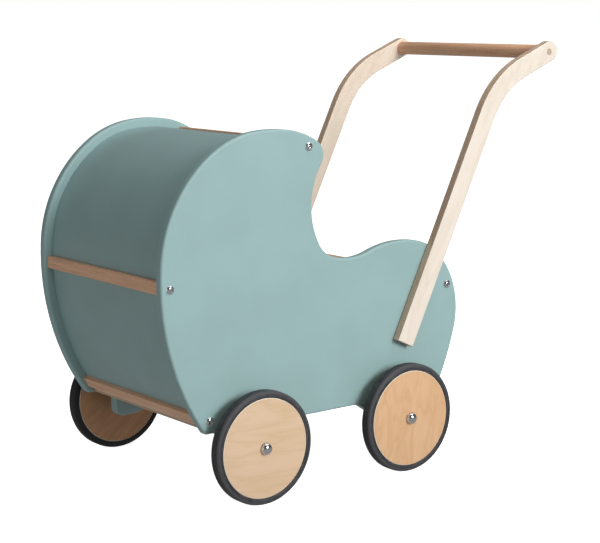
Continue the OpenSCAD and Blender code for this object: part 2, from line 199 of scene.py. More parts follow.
def makePlywood(name, board):
    # birch plywood: a veneer on each face, and between them plies that turn their grain
    # from layer to layer, with a dark glue line between each two
    material, tree, shader = startMaterial(name, Roughness=board["roughness"])
    coords = addNode(tree, "ShaderNodeTexCoord").outputs["Object"]
    parts = addNode(tree, "ShaderNodeSeparateXYZ", {0: coords})
    away = addNode(tree, "ShaderNodeMath", {
        0: parts.outputs[board["through"]]}, operation="ABSOLUTE")
    depth = addNode(tree, "ShaderNodeMath", {
        0: away.outputs[0], 1: board["inner"]}, operation="SUBTRACT")
    layer = addNode(tree, "ShaderNodeMath", {
        0: depth.outputs[0], 1: board["plies"] / board["thickness"]}, operation="MULTIPLY")
    skin = addNode(tree, "ShaderNodeMath", {
        0: layer.outputs[0], 1: board["plies"] / 2}, operation="PINGPONG")
    inside = addNode(tree, "ShaderNodeMath", {0: skin.outputs[0], 1: 1.0},
                     operation="GREATER_THAN")
    whole = addNode(tree, "ShaderNodeMath", {0: skin.outputs[0]}, operation="FLOOR")
    crossed = addNode(tree, "ShaderNodeMath", {0: whole.outputs[0], 1: 2.0}, operation="MODULO")
    seam = addNode(tree, "ShaderNodeMath", {0: layer.outputs[0], 1: 0.5}, operation="PINGPONG")
    glueWidth = board["glueWidth"]
    glueLine = addNode(tree, "ShaderNodeMapRange", {
        "Value": seam.outputs[0], "From Min": glueWidth[0], "From Max": glueWidth[1],
        "To Min": 1.0, "To Max": 0.0})
    buried = addNode(tree, "ShaderNodeMath", {0: skin.outputs[0], 1: 0.5},
                     operation="GREATER_THAN")
    glue = addNode(tree, "ShaderNodeMath", {
        0: glueLine.outputs["Result"], 1: buried.outputs[0]}, operation="MULTIPLY")
    turned = addNode(tree, "ShaderNodeMapping", {
        "Vector": coords, "Rotation": [math.radians(a) for a in board["turn"]]})
    crossTurn = [math.radians(a) for a in board["turn"]]
    crossTurn[1 if board["through"] == "Y" else 2] += math.radians(90)
    crosswise = addNode(tree, "ShaderNodeMapping", {"Vector": coords, "Rotation": crossTurn})
    vector = addNode(tree, "ShaderNodeMix", {
        0: crossed.outputs[0], 4: turned.outputs["Vector"], 5: crosswise.outputs["Vector"]},
        data_type="VECTOR")
    factor = grainFactor(tree, vector.outputs[1], board["grain"])
    veneer = addNode(tree, "ShaderNodeValToRGB", {"Fac": factor}, stops=board["veneer"])
    longPly = addNode(tree, "ShaderNodeValToRGB", {"Fac": factor}, stops=board["longPly"])
    crossPly = addNode(tree, "ShaderNodeValToRGB", {"Fac": factor}, stops=board["crossPly"])
    core = addNode(tree, "ShaderNodeMix", {
        0: crossed.outputs[0], 6: longPly.outputs["Color"], 7: crossPly.outputs["Color"]},
        data_type="RGBA")
    wood = addNode(tree, "ShaderNodeMix", {
        0: inside.outputs[0], 6: veneer.outputs["Color"], 7: core.outputs[2]}, data_type="RGBA")
    colour = addNode(tree, "ShaderNodeMix", {
        0: glue.outputs[0], 6: wood.outputs[2], 7: hexLinear(board["glue"])}, data_type="RGBA")
    if "rim" in board:                # a disc's chamfer, paler than its face: partly sanded wood and partly a painted highlight
        rim = board["rim"]
        spoke = addNode(tree, "ShaderNodeVectorMath", {
            0: coords, 1: (rim["x"], 0, rim["z"])}, operation="SUBTRACT")
        flat = addNode(tree, "ShaderNodeVectorMath", {
            0: spoke.outputs["Vector"], 1: (1, 0, 1)}, operation="MULTIPLY")
        radius = addNode(tree, "ShaderNodeVectorMath", {0: flat.outputs["Vector"]},
                         operation="LENGTH")
        sandedAndLit = addNode(tree, "ShaderNodeMapRange", {
            "Value": radius.outputs["Value"], "From Min": rim["from"],
            "From Max": rim["from"] + 0.4 * mm})
        colour = addNode(tree, "ShaderNodeMix", {
            0: sandedAndLit.outputs["Result"], 6: colour.outputs[2], 7: hexLinear(rim["colour"])},
            data_type="RGBA")
    bump = addNode(tree, "ShaderNodeBump", {
        "Height": factor, "Strength": 0.25, "Distance": -0.05 * mm})
    tree.links.new(colour.outputs[2], shader.inputs["Base Color"])
    tree.links.new(bump.outputs["Normal"], shader.inputs["Normal"])
    return material


def makeRubber(name, rubber, axle, outer, face):
    # moulded solid rubber: charcoal and matt, with streaks that run round the wheel, a
    # fine tooth, and a paler ring on the shoulder that is a painted highlight
    material, tree, shader = startMaterial(name, Roughness=0.6, Specular_IOR_Level=0.3)
    coords = addNode(tree, "ShaderNodeTexCoord").outputs["Object"]
    centred = addNode(tree, "ShaderNodeMapping", {"Vector": coords, "Location": -axle})
    parts = addNode(tree, "ShaderNodeSeparateXYZ", {0: centred.outputs["Vector"]})
    spoke = addNode(tree, "ShaderNodeCombineXYZ", {0: parts.outputs["X"], 2: parts.outputs["Z"]})
    radius = addNode(tree, "ShaderNodeVectorMath", {0: spoke.outputs[0]}, operation="LENGTH")
    around = addNode(tree, "ShaderNodeVectorMath", {0: spoke.outputs[0]}, operation="NORMALIZE")
    turn = addNode(tree, "ShaderNodeSeparateXYZ", {0: around.outputs["Vector"]})
    profile = addNode(tree, "ShaderNodeCombineXYZ", {
        0: radius.outputs["Value"], 1: parts.outputs["Y"]})
    scaled = addNode(tree, "ShaderNodeVectorMath", {
        0: profile.outputs[0], 1: [1 / rubber["streak"]] * 3}, operation="MULTIPLY")
    along = addNode(tree, "ShaderNodeCombineXYZ", {2: turn.outputs["X"]})
    place = addNode(tree, "ShaderNodeVectorMath", {
        0: scaled.outputs["Vector"], 1: along.outputs[0]}, operation="ADD")
    streaks = addNode(tree, "ShaderNodeTexNoise", {
        "Vector": place.outputs["Vector"], "W": turn.outputs["Z"], "Scale": 1.0,
        "Detail": 3.0, "Roughness": 0.6}, noise_dimensions="4D")
    cloud = addNode(tree, "ShaderNodeTexNoise", {
        "Vector": coords, "Scale": 1 / rubber["mark"], "Detail": 6.0, "Roughness": 0.65})
    blotch = addNode(tree, "ShaderNodeMix", {
        0: 0.35, 2: streaks.outputs["Fac"], 3: cloud.outputs["Fac"]}, data_type="FLOAT")
    colour = addNode(tree, "ShaderNodeValToRGB", {"Fac": blotch.outputs[0]},
                     stops=[(0.4, rubber["dark"]), (0.6, rubber["light"])])
    away = addNode(tree, "ShaderNodeMath", {0: parts.outputs["Y"]}, operation="ABSOLUTE")
    starts, ends = rubber["shoulder"]
    outwards = addNode(tree, "ShaderNodeMapRange", {
        "Value": away.outputs[0], "From Min": face - starts, "From Max": face - ends},
        interpolation_type="SMOOTHSTEP")
    rimwards = addNode(tree, "ShaderNodeMapRange", {
        "Value": radius.outputs["Value"], "From Min": outer - starts,
        "From Max": outer - ends}, interpolation_type="SMOOTHSTEP")
    shoulder = addNode(tree, "ShaderNodeMath", {
        0: outwards.outputs["Result"], 1: rimwards.outputs["Result"]}, operation="MULTIPLY")
    # the paler shoulder ring is a painted highlight where the rounding would catch the light
    highlitShoulder = addNode(tree, "ShaderNodeMix", {
        0: shoulder.outputs[0], 6: colour.outputs["Color"], 7: hexLinear(rubber["shoulderHighlight"])},
        data_type="RGBA")
    gloss = addNode(tree, "ShaderNodeMapRange", {
        "Value": blotch.outputs[0], "To Min": rubber["gloss"][0],
        "To Max": rubber["gloss"][1]})
    tooth = addNode(tree, "ShaderNodeTexNoise", {
        "Vector": coords, "Scale": 1 / rubber["tooth"], "Detail": 2.0})
    streakBump = addNode(tree, "ShaderNodeBump", {
        "Height": streaks.outputs["Fac"], "Strength": 0.4, "Distance": 0.15 * mm})
    bump = addNode(tree, "ShaderNodeBump", {
        "Height": tooth.outputs["Fac"], "Strength": 0.4, "Distance": 0.08 * mm,
        "Normal": streakBump.outputs["Normal"]})
    tree.links.new(highlitShoulder.outputs[2], shader.inputs["Base Color"])
    tree.links.new(gloss.outputs["Result"], shader.inputs["Roughness"])
    tree.links.new(bump.outputs["Normal"], shader.inputs["Normal"])
    return material


def makeMetal(name, metal):
    # polished chrome plate or brushed zinc plate, with hair-fine handling marks
    material, tree, shader = startMaterial(name, Metallic=1.0)
    coords = addNode(tree, "ShaderNodeTexCoord").outputs["Object"]
    cloud = addNode(tree, "ShaderNodeTexNoise", {
        "Vector": coords, "Scale": 1 / metal["mark"], "Detail": 5.0, "Roughness": 0.7})
    colour = addNode(tree, "ShaderNodeValToRGB", {"Fac": cloud.outputs["Fac"]},
                     stops=[(0.3, metal["dark"]), (0.7, metal["light"])])
    gloss = addNode(tree, "ShaderNodeMapRange", {
        "Value": cloud.outputs["Fac"], "To Min": metal["roughness"][0],
        "To Max": metal["roughness"][1]})
    bump = addNode(tree, "ShaderNodeBump", {
        "Height": cloud.outputs["Fac"], "Strength": 0.15, "Distance": 0.02 * mm})
    tree.links.new(colour.outputs["Color"], shader.inputs["Base Color"])
    tree.links.new(gloss.outputs["Result"], shader.inputs["Roughness"])
    tree.links.new(bump.outputs["Normal"], shader.inputs["Normal"])
    return material


def makeNylon(name, plastic):
    # moulded nylon: milky white with a soft sheen
    material, tree, shader = startMaterial(name, Roughness=0.4)
    coords = addNode(tree, "ShaderNodeTexCoord").outputs["Object"]
    cloud = addNode(tree, "ShaderNodeTexNoise", {
        "Vector": coords, "Scale": 1 / plastic["mark"], "Detail": 2.0})
    colour = addNode(tree, "ShaderNodeValToRGB", {"Fac": cloud.outputs["Fac"]},
                     stops=[(0.3, plastic["dark"]), (0.7, plastic["light"])])
    bump = addNode(tree, "ShaderNodeBump", {
        "Height": cloud.outputs["Fac"], "Strength": 0.2, "Distance": 0.03 * mm})
    tree.links.new(colour.outputs["Color"], shader.inputs["Base Color"])
    tree.links.new(bump.outputs["Normal"], shader.inputs["Normal"])
    return material


beechGrain = {
    "fibre": (40 * mm, 0.9 * mm), "fibreWeight": 0.45,
    "pore": (3.5 * mm, 0.5 * mm), "poreWeight": 0.3,
    "figure": (220 * mm, 14 * mm), "figureWeight": 0.25, "rings": 5.0,
    "shift": (0.0, 0.0, 0.0),
}
birchGrain = {
    "fibre": (30 * mm, 0.7 * mm), "fibreWeight": 0.28,
    "pore": (2.5 * mm, 0.5 * mm), "poreWeight": 0.12,
    "figure": (110 * mm, 20 * mm), "figureWeight": 0.4, "rings": 6.0,
    "shift": (0.0, 0.0, 0.0),
}
oiledBeech = {
    "roughness": 0.45,
    "turn": (0, 0, -90),              # the grain runs across the pram
    "grain": beechGrain,
    "colours": [(0.0, "#eabb97"), (0.45, "#dbac89"), (1.0, "#b8896a")],
}
plyEdges = {
    "longPly": [(0.0, "#e6cfb4"), (1.0, "#d2b899")],
    "crossPly": [(0.0, "#c9ae93"), (1.0, "#ab8f75")],
    "glue": "#6b4a34",
    "glueWidth": (0.05, 0.14),        # as shares of a ply, where the line is full and gone
}
armBoard = dict(plyEdges, **{
    "through": "Y", "inner": 140.5 * mm, "thickness": 12 * mm, "plies": 9,
    "turn": (0, 63.7, 0),             # the grain follows the arm's straight part
    "grain": birchGrain,
    "roughness": 0.5,
    "veneers": {
        "left": [(0.0, "#ded4c8"), (0.5, "#d6cbbd"), (1.0, "#c4b5a0")],
        # painted light: the right arm's veneer is made lighter than the left one's
        "right": [(0.0, "#e2d4c2"), (0.5, "#dacab8"), (1.0, "#c6b29a")],
    },
})
wheelBoard = dict(plyEdges, **{
    "through": "Y", "inner": 156.5 * mm, "thickness": 15 * mm, "plies": 11,
    "turn": (0, 0, 0),
    "grain": birchGrain,
    "roughness": 0.42,
    "veneer": [(0.0, "#d0b898"), (0.5, "#c6ac8c"), (1.0, "#b09470")],
})
floorBoard = dict(wheelBoard, through="Z", inner=89 * mm, thickness=9 * mm, plies=7)
barPlug = {
    "roughness": 0.6,
    "turn": (0, 0, 0),
    "grain": dict(beechGrain, fibre=(0.7 * mm, 0.7 * mm), pore=(0.4 * mm, 0.4 * mm)),
    "colours": [(0.0, "#b8a996"), (0.5, "#a89885"), (1.0, "#8d7c69")],
}

chromePlate = {"light": "#dfe0e3", "dark": "#cfd0d4", "mark": 2.5 * mm, "roughness": (0.06, 0.16)}
zincPlate = {"light": "#b9bcc2", "dark": "#9ea2a9", "mark": 4 * mm, "roughness": (0.25, 0.42)}
milkyNylon = {"light": "#e6e4de", "dark": "#dad8d2", "mark": 3 * mm}

boardPaint = makeSatinPaint("satinPaintOnPlywood", satinPaint, "X")
sheetPaint = makeSatinPaint("satinPaintOnBentSheet", satinPaint, "Y")
beech = makeSolidWood("oiledBeech", oiledBeech)
armBirch = {side: makePlywood(side + "WhitenedBirch", dict(armBoard, veneer=veneer))
            for side, veneer in armBoard["veneers"].items()}
plugWood = makeSolidWood("endGrainPlug", barPlug)
floorBirch = makePlywood("floorBirchPlywood", floorBoard)
chrome = makeMetal("polishedChrome", chromePlate)
zinc = makeMetal("brushedZinc", zincPlate)
nylon = makeNylon("mouldedNylon", milkyNylon)
print("materials made")


def newObject(name, mesh):
    piece = bpy.data.objects.new(name, mesh)
    scene.collection.objects.link(piece)
    return piece


def plainMesh(piece):
    # what the modifiers give becomes the piece's own mesh
    graph = bpy.context.evaluated_depsgraph_get()
    mesh = bpy.data.meshes.new_from_object(piece.evaluated_get(graph))
    piece.modifiers.clear()
    piece.data = mesh
    return mesh


def tidyMesh(mesh, sharpAngle):
    # closed, outward and smooth, with its real corners kept sharp
    work = bmesh.new()
    work.from_mesh(mesh)
    bmesh.ops.remove_doubles(work, verts=work.verts, dist=touching)
    bmesh.ops.recalc_face_normals(work, faces=work.faces)
    work.to_mesh(mesh)
    work.free()
    mesh.polygons.foreach_set("use_smooth", [True] * len(mesh.polygons))
    mesh.set_sharp_from_angle(angle=math.radians(sharpAngle))


def finishPiece(piece, material, slotName, body, *stoodFor):
    piece.data.materials.clear()
    piece.data.materials.append(material)
    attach(piece, body)
    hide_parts(*stoodFor)


def outlineEdges(work):
    # the outline of a plate that stands parallel to the sides: on each of its two faces
    # the longest run of edges where the face meets a wall
    rims = set()
    for edge in work.edges:
        upright = abs(edge.verts[0].co.y - edge.verts[1].co.y) < level
        if upright and len(edge.link_faces) == 2:
            tilts = sorted(abs(face.normal.y) for face in edge.link_faces)
            if tilts[0] < 0.3 and tilts[1] > 0.95:
                rims.add(edge)
    runs = {}
    while rims:
        run, waiting = [], [rims.pop()]
        while waiting:
            edge = waiting.pop()
            run.append(edge)
            for near in (e for v in edge.verts for e in v.link_edges if e in rims):
                rims.discard(near)
                waiting.append(near)
        place = round(run[0].verts[0].co.y / mm)
        length = sum(edge.calc_length() for edge in run)
        runs[place] = max(runs.get(place, (0, None)), (length, run), key=lambda item: item[0])
    return [edge for place in (min(runs), max(runs)) for edge in runs[place][1]]


def refillSides(mesh):
    # new triangles for a plate's two flat faces, round all the holes and grooves in them
    work = bmesh.new()
    work.from_mesh(mesh)
    places = [abs(v.co.y) for v in work.verts]
    for place in (min(places), max(places)):
        flat = {f for f in work.faces
                if all(abs(abs(v.co.y) - place) < level for v in f.verts)}
        facing = next(iter(flat)).normal.copy()
        rim = [e for f in flat for e in f.edges if sum(n in flat for n in e.link_faces) == 1]
        bmesh.ops.delete(work, geom=list(flat), context="FACES_ONLY")
        bmesh.ops.triangle_fill(work, use_beauty=True, edges=rim, normal=facing)
    work.to_mesh(mesh)
    work.free()


def crossEdges(work):
    # the corners that run across the pram
    return [edge for edge in work.edges
            if abs(edge.verts[0].co.x - edge.verts[1].co.x) < level
            and abs(edge.verts[0].co.z - edge.verts[1].co.z) < level
            and edge.calc_length() > 100 * mm
            and edge.calc_face_angle(0) > math.radians(60)]


def roundedCopy(name, node, chooseEdges, radius, steps):
    # a copy of a CAD node with its triangles merged and the chosen edges rounded
    mesh = nodes[node].data.copy()
    work = bmesh.new()
    work.from_mesh(mesh)
    bmesh.ops.remove_doubles(work, verts=work.verts, dist=touching)
    bmesh.ops.dissolve_limit(work, angle_limit=math.radians(0.4), verts=work.verts,
                             edges=work.edges)
    weight = work.edges.layers.float.new("bevel_weight_edge")
    chosen = set(chooseEdges(work))
    for edge in work.edges:
        edge[weight] = 1.0 if edge in chosen else 0.0
    work.to_mesh(mesh)
    work.free()
    if "custom_normal" in mesh.attributes:
        mesh.attributes.remove(mesh.attributes["custom_normal"])
    piece = newObject(name, mesh)
    bevel = piece.modifiers.new("round", "BEVEL")
    bevel.limit_method = "WEIGHT"
    bevel.width = radius
    bevel.segments = steps
    bevel.loop_slide = False
    bevel.use_clamp_overlap = False
    mesh = plainMesh(piece)
    if chooseEdges is outlineEdges:
        refillSides(mesh)
    mesh.polygons.foreach_set("use_smooth", [True] * len(mesh.polygons))
    mesh.set_sharp_from_angle(angle=math.radians(sharpCorner["boards"]))
    even = piece.modifiers.new("evenShading", "WEIGHTED_NORMAL")
    even.keep_sharp = True
    plainMesh(piece)
    return piece


sidePanels = {"round": 3 * mm, "steps": 5}
for side in ("left", "right"):
    node = side + "_side_panel"
    piece = roundedCopy(side + "SidePanel", node, outlineEdges, sidePanels["round"],
                        sidePanels["steps"])
    finishPiece(piece, boardPaint, "painted_board", "pram", node)

brackets = {"round": 1.5 * mm, "steps": 3}
for corner in ("front_left", "front_right", "rear_left", "rear_right"):
    node = corner + "_bracket"
    piece = roundedCopy(node.replace("_", "-") + "-block", node, outlineEdges,
                        brackets["round"], brackets["steps"])
    finishPiece(piece, boardPaint, "painted_board", "pram", node)

bentSheets = {"round": 0.4 * mm, "steps": 2, "nodes": {
    "hood_panel": "hoodSheet", "front_panel": "frontSheet", "rear_panel": "rearSheet"}}
for node, name in bentSheets["nodes"].items():
    piece = roundedCopy(name, node, crossEdges, bentSheets["round"], bentSheets["steps"])
    finishPiece(piece, sheetPaint, "painted_sheet", "pram", node)

rails = {"round": 1.5 * mm, "steps": 4, "nodes": {
    "hood_rail": "hoodRail", "front_middle_rail": "frontMiddleRail",
    "front_bottom_rail": "frontBottomRail", "rear_top_rail": "rearTopRail",
    "rear_bottom_rail": "rearBottomRail"}}
for node, name in rails["nodes"].items():
    piece = roundedCopy(name, node, crossEdges, rails["round"], rails["steps"])
    finishPiece(piece, beech, "beech", "pram", node)

bedFloor = {"round": 0.5 * mm, "steps": 2}
piece = roundedCopy("bedFloor", "floor_board", crossEdges, bedFloor["round"], bedFloor["steps"])
finishPiece(piece, floorBirch, "birch_plywood", "pram", "floor_board")

handleArms = {"round": 1.6 * mm, "steps": 4}
for side in ("left", "right"):
    node = side + "_handle_arm"
    piece = roundedCopy(side + "HandleArm", node, outlineEdges, handleArms["round"],
                        handleArms["steps"])
    finishPiece(piece, armBirch[side], "pale_birch", "pram", node)
print("boards, sheets and rails rounded")


def makeTurnedTree():
    # turns a profile, drawn as points of (radius, place along Y), round an axle
    tree = bpy.data.node_groups.new("turnedPart", "GeometryNodeTree")
    face = tree.interface
    face.new_socket("Profile", in_out="INPUT", socket_type="NodeSocketGeometry")
    face.new_socket("Segments", in_out="INPUT", socket_type="NodeSocketInt")
    face.new_socket("Axle", in_out="INPUT", socket_type="NodeSocketVector")
    face.new_socket("Finish", in_out="INPUT", socket_type="NodeSocketMaterial")
    face.new_socket("Part", in_out="OUTPUT", socket_type="NodeSocketGeometry")
    given = addNode(tree, "NodeGroupInput").outputs
    size = addNode(tree, "GeometryNodeAttributeDomainSize", {"Geometry": given["Profile"]})
    ringPoints = addNode(tree, "ShaderNodeMath", {0: given["Segments"], 1: 1.0}, operation="ADD")
    grid = addNode(tree, "GeometryNodeMeshGrid", {
        "Vertices X": size.outputs["Point Count"], "Vertices Y": ringPoints.outputs[0]})
    index = addNode(tree, "GeometryNodeInputIndex").outputs[0]
    share = addNode(tree, "ShaderNodeMath", {0: index, 1: ringPoints.outputs[0]},
                    operation="DIVIDE")
    row = addNode(tree, "ShaderNodeMath", {0: share.outputs[0]}, operation="FLOOR")
    column = addNode(tree, "ShaderNodeMath", {0: index, 1: ringPoints.outputs[0]},
                     operation="MODULO")
    turn = addNode(tree, "ShaderNodeMath", {0: column.outputs[0], 1: given["Segments"]},
                   operation="DIVIDE")
    angle = addNode(tree, "ShaderNodeMath", {0: turn.outputs[0], 1: math.tau},
                    operation="MULTIPLY")
    place = addNode(tree, "GeometryNodeInputPosition").outputs[0]
    sample = addNode(tree, "GeometryNodeSampleIndex", {
        "Geometry": given["Profile"], "Value": place, "Index": row.outputs[0]},
        data_type="FLOAT_VECTOR")
    point = addNode(tree, "ShaderNodeSeparateXYZ", {0: sample.outputs["Value"]})
    cosine = addNode(tree, "ShaderNodeMath", {0: angle.outputs[0]}, operation="COSINE")
    sine = addNode(tree, "ShaderNodeMath", {0: angle.outputs[0]}, operation="SINE")
    across = addNode(tree, "ShaderNodeMath", {0: point.outputs[0], 1: cosine.outputs[0]},
                     operation="MULTIPLY")
    up = addNode(tree, "ShaderNodeMath", {0: point.outputs[0], 1: sine.outputs[0]},
                 operation="MULTIPLY")
    ring = addNode(tree, "ShaderNodeCombineXYZ", {
        0: across.outputs[0], 1: point.outputs[1], 2: up.outputs[0]})
    placed = addNode(tree, "ShaderNodeVectorMath", {0: ring.outputs[0], 1: given["Axle"]},
                     operation="ADD")
    moved = addNode(tree, "GeometryNodeSetPosition", {
        "Geometry": grid.outputs["Mesh"], "Position": placed.outputs[0]})
    closed = addNode(tree, "GeometryNodeMergeByDistance", {
        "Geometry": moved.outputs["Geometry"], "Distance": 0.002 * mm})
    real = addNode(tree, "GeometryNodeRealizeInstances", {"Geometry": closed.outputs["Geometry"]})
    painted = addNode(tree, "GeometryNodeSetMaterial", {
        "Geometry": real.outputs["Geometry"], "Material": given["Finish"]})
    addNode(tree, "NodeGroupOutput", {"Part": painted.outputs["Geometry"]})
    return tree


def giveInputs(modifier, values):
    for item in modifier.node_group.interface.items_tree:
        if item.in_out == "INPUT" and item.name in values:
            modifier[item.identifier] = values[item.name]


turnedTree = makeTurnedTree()


def softCorners(points, steps):
    # a profile's corners, each (radius, out, rounding), with the roundings as arcs
    line = []
    for i, (r, out, rounding) in enumerate(points):
        corner = Vector((r, out))
        if not rounding:
            line.append(corner)
            continue
        back = (Vector(points[i - 1][:2]) - corner).normalized()
        on = (Vector(points[(i + 1) % len(points)][:2]) - corner).normalized()
        half = back.angle(on) / 2
        centre = corner + (back + on).normalized() * rounding / math.sin(half)
        start = corner + back * rounding / math.tan(half) - centre
        sweep = start.angle_signed(corner + on * rounding / math.tan(half) - centre)
        for k in range(steps + 1):
            line.append(centre + Matrix.Rotation(-sweep * k / steps, 2) @ start)
    return line


def turnedPiece(name, axle, line, closed, finish, segments):
    points = [Vector((max(p[0], 0.0), p[1], 0.0)) for p in line]
    if closed:
        points.append(points[0])
    mesh = bpy.data.meshes.new(name)
    mesh.from_pydata(points, [(i, i + 1) for i in range(len(points) - 1)], [])
    piece = newObject(name, mesh)
    modifier = piece.modifiers.new("turn", "NODES")
    modifier.node_group = turnedTree
    giveInputs(modifier, {"Segments": segments, "Axle": axle, "Finish": finish})
    tidyMesh(plainMesh(piece), sharpCorner["turned"])
    return piece


wheelLooks = {
    "tyreRound": 4 * mm,
    "tyreLip": 0.5 * mm,
    "discRound": 0.35 * mm,
    "discBevel": 1 * mm,
    "bore": 7 * mm,
    "segments": 144,
    # the chamfer's pale ring is partly sanded wood and partly a painted highlight
    "chamfer": "#eadfcd",
    "sandedAndLit": 1.25,                   # how far in the pale ring reaches, in bevels
    # where each disc was cut from its board: the grain's turn, the figure's place and
    # size, and the veneer's colours, with painted shade in the front right one's darker, warmer
    # tones
    "cuts": {
        "front_left": {
            "turn": -5, "shift": (0.0, 3.1, 0.4), "figure": (110 * mm, 20 * mm),
            "veneer": [(0.0, "#d0b59a"), (0.5, "#c8ac8c"), (1.0, "#b6946e")]},
        # painted shade: a darker, warmer veneer than the other discs
        "front_right": {
            "turn": 38, "shift": (2.0, 1.3, 5.1), "figure": (90 * mm, 20 * mm),
            "veneer": [(0.0, "#bb8b64"), (0.5, "#ac7f5a"), (1.0, "#946b48")]},
        "rear_left": {
            "turn": 84, "shift": (6.2, 0.7, 2.9), "figure": (55 * mm, 17 * mm),
            "veneer": [(0.0, "#d0ab86"), (0.5, "#c8a079"), (1.0, "#b1875d")]},
        "rear_right": {
            "turn": -20, "shift": (1.1, 7.3, 3.3), "figure": (70 * mm, 18 * mm),
            "veneer": [(0.0, "#cfa67c"), (0.5, "#c4986f"), (1.0, "#a97c53")]},
    },
    "rubber": {
        "left": {"light": "#47474a", "dark": "#202022", "shoulderHighlight": "#464649"},
        # painted shade: the right tyres' tones are darker than the left ones'
        "right": {"light": "#2a2a2b", "dark": "#1e1e1f", "shoulderHighlight": "#323233"},
    },
    "rubberGrain": {
        "streak": 1.1 * mm, "mark": 9 * mm, "tooth": 0.9 * mm,
        "shoulder": (5 * mm, 1.5 * mm),       # in from the edges, where the painted highlight starts and is full; roughness, low and high
        "gloss": (0.5, 0.7),                  # and is full; roughness, low and high
    },
}


def makeWheel(corner, looks):
    body = corner + "_wheel"
    disc, tyre = corner + "_disc", corner + "_tyre"
    low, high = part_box(tyre)
    axle = Vector(((low.x + high.x) / 2, 0, (low.z + high.z) / 2))
    outer = (high.x - low.x) / 2
    discLow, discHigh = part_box(disc)
    rim = (discHigh.x - discLow.x) / 2
    side = 1 if low.y > 0 else -1
    a, b = sorted((side * low.y, side * high.y))
    c, d = sorted((side * discLow.y, side * discHigh.y))
    cut = looks["cuts"][corner]
    name = corner.replace("_", "-")
    # the right tyres take the darker tones, which are painted shade
    compound = dict(looks["rubber"]["left" if side < 0 else "right"], **looks["rubberGrain"])
    tread = makeRubber(name + "-mouldedRubber", compound, axle, outer, b)
    tyreLine = softCorners([
        (rim, a, looks["tyreLip"]), (outer, a, looks["tyreRound"]),
        (outer, b, looks["tyreRound"]), (rim, b, looks["tyreLip"])], 7)
    piece = turnedPiece(name + "-rubber", axle, [(p.x, side * p.y) for p in tyreLine], True,
                        tread, looks["segments"])
    finishPiece(piece, tread, "rubber", body, tyre)
    bevel, soft = looks["discBevel"], looks["discRound"]
    discLine = softCorners([
        (looks["bore"], c, 0), (rim - bevel, c, soft), (rim, c + bevel, soft),
        (rim, d - bevel, soft), (rim - bevel, d, soft), (looks["bore"], d, 0)], 3)
    grain = dict(birchGrain, shift=cut["shift"], figure=cut["figure"])
    sandedAndLit = {"x": axle.x, "z": axle.z, "from": rim - looks["sandedAndLit"] * bevel,
              "colour": looks["chamfer"]}
    board = dict(wheelBoard, grain=grain, turn=(0, cut["turn"], 0), veneer=cut["veneer"],
                 rim=sandedAndLit)
    finish = makePlywood(name + "-discPlywood", board)
    piece = turnedPiece(name + "-board", axle, [(p.x, side * p.y) for p in discLine], True,
                        finish, looks["segments"])
    finishPiece(piece, finish, "wheel_plywood", body, disc)


for corner in wheelLooks["cuts"]:
    makeWheel(corner, wheelLooks)

capLooks = {
    "skirt": 0.3,                     # straight share of the height, under the dome
    "flange": 0.9 * mm,
    "break": (0.15 * mm, 0.2 * mm),   # the flange's lower and upper broken corner
    "steps": 14,
    "segments": 64,
}


def makeCap(corner, looks):
    # a pressed dome with a thin turned-out flange
    node = corner + "_cap"
    low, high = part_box(node)
    axle = Vector(((low.x + high.x) / 2, 0, (low.z + high.z) / 2))
    radius = (high.x - low.x) / 2
    side = 1 if low.y > 0 else -1
    foot, top = sorted((side * low.y, side * high.y))
    skirt = (top - foot) * looks["skirt"]
    dome = radius - 0.5 * looks["flange"]
    lip = foot + looks["flange"]
    under, over = looks["break"]
    line = [(0, foot), (radius - under, foot), (radius, foot + under),
            (radius, lip - over), (radius - over, lip), (dome, lip + under)]
    for k in range(looks["steps"] + 1):
        angle = math.radians(90 * k / looks["steps"])
        rise = (top - foot - skirt) * math.sin(angle)
        line.append((dome * math.cos(angle), foot + skirt + rise))
    piece = turnedPiece(corner.replace("_", "-") + "-axleCap", axle,
                        [(r, side * out) for r, out in line], False, chrome, looks["segments"])
    finishPiece(piece, chrome, "chrome", "pram", node)


for corner in wheelLooks["cuts"]:
    makeCap(corner, capLooks)

pushBar = {"break": 0.3 * mm, "steps": 2, "segments": 96}
low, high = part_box("handle_bar")
barRadius = (high.x - low.x) / 2
barLine = softCorners([(0, low.y, 0), (barRadius, low.y, pushBar["break"]),
                       (barRadius, high.y, pushBar["break"]), (0, high.y, 0)], pushBar["steps"])
piece = turnedPiece("pushBar", Vector(((low.x + high.x) / 2, 0, (low.z + high.z) / 2)),
                    barLine, False, beech, pushBar["segments"])
finishPiece(piece, beech, "beech", "pram", "handle_bar")
print("turned parts made")


def islandBoxes(node):
    # the lowest and highest corner of each separate solid in a CAD node
    work = bmesh.new()
    work.from_mesh(nodes[node].data)
    bmesh.ops.remove_doubles(work, verts=work.verts, dist=touching)
    left, found = set(work.verts), []
    while left:
        waiting, points = [left.pop()], []
        while waiting:
            vert = waiting.pop()
            points.append(vert.co.copy())
            for edge in vert.link_edges:
                other = edge.other_vert(vert)
                if other in left:
                    left.discard(other)
                    waiting.append(other)
        found.append((Vector(min(p[i] for p in points) for i in range(3)),
                      Vector(max(p[i] for p in points) for i in range(3))))
    work.free()
    return sorted(found, key=lambda box: tuple(round(x / mm) for x in box[0]))


